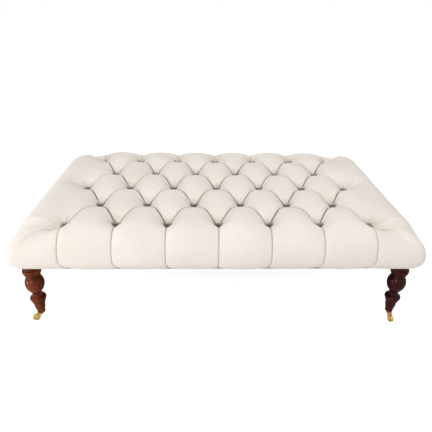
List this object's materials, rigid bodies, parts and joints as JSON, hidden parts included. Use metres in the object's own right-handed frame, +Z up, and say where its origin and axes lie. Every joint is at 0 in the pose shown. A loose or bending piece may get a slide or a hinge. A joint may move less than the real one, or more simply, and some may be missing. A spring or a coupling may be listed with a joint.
{
  "type": "ottoman coffee table",
  "caption": "Long low upholstered ottoman coffee table: deep diamond-buttoned linen top with pleated edges on turned dark wood legs with swivel castors.",
  "frame": {"origin": "on the floor under the middle of the table", "axes": "+X along the table's length to its right, -Y to its front, +Z up"},
  "size_m": [1.482, 0.896, 0.4303],
  "materials": {
    "linen": "plain-woven oatmeal linen, matt",
    "button_linen": "linen-covered, matt",
    "hem_linen": "turned linen edge, matt",
    "twine": "waxed flax twine",
    "toggle": "plain beech",
    "pad_felt": "needled felt",
    "webbing": "herringbone jute",
    "frame_wood": "sawn beech",
    "block_wood": "sawn beech, end grain",
    "zinc_steel": "zinc plated",
    "mahogany": "dark red stain under gloss polish",
    "dust_cloth": "black spun-bonded cloth",
    "brass": "polished brass",
    "wheel_brass": "turned brass, slightly worn",
    "axle_steel": "plain steel rivet"
  },
  "bodies": {
    "root": {"tufted_top": "linen", "tuft_buttons": "button_linen", "button_twines": "twine", "twine_toggles": "toggle", "base_pad": "pad_felt", "cross_webbing": "webbing", "long_webbing": "webbing", "front_rail": "frame_wood", "back_rail": "frame_wood", "left_rail": "frame_wood", "right_rail": "frame_wood", "cross_rails": "frame_wood", "corner_blocks": "block_wood", "tee_nuts": "zinc_steel", "leg_bolts": "zinc_steel", "legs": "mahogany", "hem_strip": "hem_linen", "dust_cover": "dust_cloth", "castor_sockets": "brass"},
    "swivel_front_left": {"castor_fork_front_left": "brass", "castor_axle_front_left": "axle_steel"},
    "wheel_front_left": {"castor_wheel_front_left": "wheel_brass"},
    "swivel_front_right": {"castor_fork_front_right": "brass", "castor_axle_front_right": "axle_steel"},
    "wheel_front_right": {"castor_wheel_front_right": "wheel_brass"},
    "swivel_back_left": {"castor_fork_back_left": "brass", "castor_axle_back_left": "axle_steel"},
    "wheel_back_left": {"castor_wheel_back_left": "wheel_brass"},
    "swivel_back_right": {"castor_fork_back_right": "brass", "castor_axle_back_right": "axle_steel"},
    "wheel_back_right": {"castor_wheel_back_right": "wheel_brass"}
  },
  "joints": [
    {"name": "castor_swivel_front_left", "type": "hinge", "parent": "root", "child": "swivel_front_left", "pos_m": [-0.679, -0.387, 0.038], "axis": [0, 0, 1], "continuous": true},
    {"name": "castor_swivel_front_right", "type": "hinge", "parent": "root", "child": "swivel_front_right", "pos_m": [0.679, -0.387, 0.038], "axis": [0, 0, 1], "continuous": true},
    {"name": "castor_swivel_back_left", "type": "hinge", "parent": "root", "child": "swivel_back_left", "pos_m": [-0.679, 0.387, 0.038], "axis": [0, 0, 1], "continuous": true},
    {"name": "castor_swivel_back_right", "type": "hinge", "parent": "root", "child": "swivel_back_right", "pos_m": [0.679, 0.387, 0.038], "axis": [0, 0, 1], "continuous": true},
    {"name": "wheel_roll_front_left", "type": "hinge", "parent": "swivel_front_left", "child": "wheel_front_left", "pos_m": [-0.70025, -0.39269, 0.014], "axis": [0.2588, -0.9659, 0], "continuous": true},
    {"name": "wheel_roll_front_right", "type": "hinge", "parent": "swivel_front_right", "child": "wheel_front_right", "pos_m": [0.68282, -0.40867, 0.014], "axis": [0.9848, 0.1736, 0], "continuous": true},
    {"name": "wheel_roll_back_left", "type": "hinge", "parent": "swivel_back_left", "child": "wheel_back_left", "pos_m": [-0.69805, 0.398, 0.014], "axis": [-0.5, -0.866, 0], "continuous": true},
    {"name": "wheel_roll_back_right", "type": "hinge", "parent": "swivel_back_right", "child": "wheel_back_right", "pos_m": [0.69967, 0.39452, 0.014], "axis": [-0.342, 0.9397, 0], "continuous": true}
  ]
}
